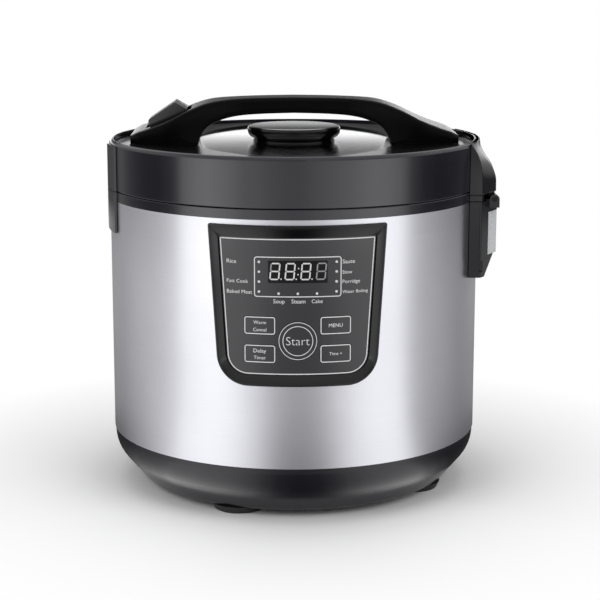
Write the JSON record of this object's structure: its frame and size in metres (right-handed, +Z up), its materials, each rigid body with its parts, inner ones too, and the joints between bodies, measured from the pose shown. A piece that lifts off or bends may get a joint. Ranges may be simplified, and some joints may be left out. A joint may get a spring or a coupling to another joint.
{
  "type": "digital multicooker",
  "caption": "Round steel countertop cooker with a front keypad and display, side-hinged clip-down lid with arched handle, centre steam vent, inner pot and heater.",
  "frame": {"origin": "on the axis of the round body, in the plane its feet stand on", "axes": "+Z up, -Y out of the control panel, +X towards the lid's hinge, -X towards the latch"},
  "size_m": [0.2838, 0.2744, 0.285],
  "materials": {
    "steel_shell": "satin",
    "steel_plate": "polished",
    "steel_disc": "polished",
    "base_plastic": "gloss",
    "collar_plastic": "gloss",
    "band_plastic": "gloss",
    "deck_plastic": "satin",
    "handle_plastic": "satin",
    "paddle_plastic": "satin",
    "latch_plastic": "gloss",
    "hinge_plastic": "satin",
    "bezel_plastic": "gloss",
    "panel_film": "satin",
    "key_film": "satin",
    "display_lens": "clear",
    "vent_plastic": "gloss",
    "clear_plastic": "translucent",
    "tray_plastic": "satin",
    "bolt_plastic": "satin",
    "foot_rubber": "matte",
    "silicone": "matte",
    "liner_steel": "satin",
    "pot_coating": "non-stick",
    "lid_aluminium": "satin",
    "cast_aluminium": "turned",
    "element_steel": "oxidised",
    "zinc_steel": "zinc plated",
    "spring_steel": "drawn",
    "fuse_ceramic": "ceramic",
    "circuit_board": "solder mask",
    "component_case": "moulded",
    "display_case": "moulded",
    "lamp_resin": "diffused",
    "inlet_plastic": "moulded",
    "contact_brass": "plated",
    "sensor_cap": "turned"
  },
  "bodies": {
    "base": {"base_pan": "base_plastic", "feet": "foot_rubber", "foot_screws": "zinc_steel", "power_board": "circuit_board", "power_parts": "component_case", "outer_shell": "steel_shell", "top_collar": "collar_plastic", "inner_liner": "liner_steel", "heating_plate": "cast_aluminium", "heating_element": "element_steel", "plate_spacers": "zinc_steel", "plate_screws": "zinc_steel", "thermostat_guide": "zinc_steel", "thermostat_spring": "spring_steel", "thermal_fuse": "fuse_ceramic", "inner_pot": "pot_coating", "panel_frame": "bezel_plastic", "panel_face": "panel_film", "display_window": "display_lens", "control_board": "circuit_board", "display_module": "display_case", "indicator_lamps": "lamp_resin", "key_switches": "component_case", "power_inlet": "inlet_plastic", "inlet_pins": "contact_brass", "inlet_screws": "zinc_steel", "hinge_bracket": "hinge_plastic", "bracket_screws": "zinc_steel", "hinge_pin": "zinc_steel", "latch_keeper": "latch_plastic"},
    "lid": {"lid_ring": "band_plastic", "lid_deck": "deck_plastic", "lid_plate": "steel_plate", "handle": "handle_plastic", "handle_screws": "zinc_steel", "paddle_pin": "zinc_steel", "paddle_spring": "spring_steel", "bolt_guide": "tray_plastic", "lid_hinge_cover": "hinge_plastic", "lid_latch_boss": "latch_plastic", "lid_inner": "tray_plastic", "lid_screws": "zinc_steel", "inner_lid_plate": "lid_aluminium", "lid_gasket": "silicone", "vent_tube": "silicone", "lid_sensor": "sensor_cap", "vent_base": "vent_plastic"},
    "paddle": {"release_paddle": "paddle_plastic"},
    "bolt": {"latch_bolt": "bolt_plastic"},
    "vent_cap_body": {"vent_cap": "vent_plastic", "vent_disc": "steel_disc"},
    "dew_cup_body": {"dew_cup": "clear_plastic"},
    "thermostat": {"thermostat_cap": "cast_aluminium"},
    "key_warm_body": {"key_warm": "key_film"},
    "key_delay_body": {"key_delay": "key_film"},
    "key_start_body": {"key_start": "key_film"},
    "key_menu_body": {"key_menu": "key_film"},
    "key_time_body": {"key_time": "key_film"}
  },
  "joints": [
    {"name": "lid_hinge", "type": "hinge", "parent": "base", "child": "lid", "pos_m": [0.1435, 0, 0.214], "axis": [0, 1, 0], "range_deg": [0, 80]},
    {"name": "paddle_press", "type": "hinge", "parent": "lid", "child": "paddle", "pos_m": [-0.101, 0, 0.2618], "axis": [0, 1, 0], "range_deg": [0, 7], "stiffness_Nm_per_rad": 1, "springref_deg": -5.73},
    {"name": "bolt_slide", "type": "slide", "parent": "lid", "child": "bolt", "axis": [-1, 0, 0], "range_m": [0, 0.0024]},
    {"name": "vent_lift", "type": "slide", "parent": "lid", "child": "vent_cap_body", "axis": [0, 0, 1], "range_m": [0, 0.006]},
    {"name": "dew_cup_pull", "type": "slide", "parent": "base", "child": "dew_cup_body", "axis": [1, 0, 0], "range_m": [0, 0.03]},
    {"name": "thermostat_travel", "type": "slide", "parent": "base", "child": "thermostat", "axis": [0, 0, -1], "range_m": [0, 0.003], "stiffness_N_per_m": 400, "springref_m": -0.003, "deforming": ["thermostat_spring"]},
    {"name": "key_warm_press", "type": "slide", "parent": "base", "child": "key_warm_body", "axis": [0, 1, 0], "range_m": [0, 0.0008], "stiffness_N_per_m": 900, "springref_m": -0.0005},
    {"name": "key_delay_press", "type": "slide", "parent": "base", "child": "key_delay_body", "axis": [0, 1, 0], "range_m": [0, 0.0008], "stiffness_N_per_m": 900, "springref_m": -0.0005},
    {"name": "key_start_press", "type": "slide", "parent": "base", "child": "key_start_body", "axis": [0, 1, 0], "range_m": [0, 0.0008], "stiffness_N_per_m": 900, "springref_m": -0.0005},
    {"name": "key_menu_press", "type": "slide", "parent": "base", "child": "key_menu_body", "axis": [0, 1, 0], "range_m": [0, 0.0008], "stiffness_N_per_m": 900, "springref_m": -0.0005},
    {"name": "key_time_press", "type": "slide", "parent": "base", "child": "key_time_body", "axis": [0, 1, 0], "range_m": [0, 0.0008], "stiffness_N_per_m": 900, "springref_m": -0.0005}
  ],
  "couplings": [
    {"joint": "bolt_slide", "follows": "paddle_press", "m_per_rad": 0.0186}
  ]
}
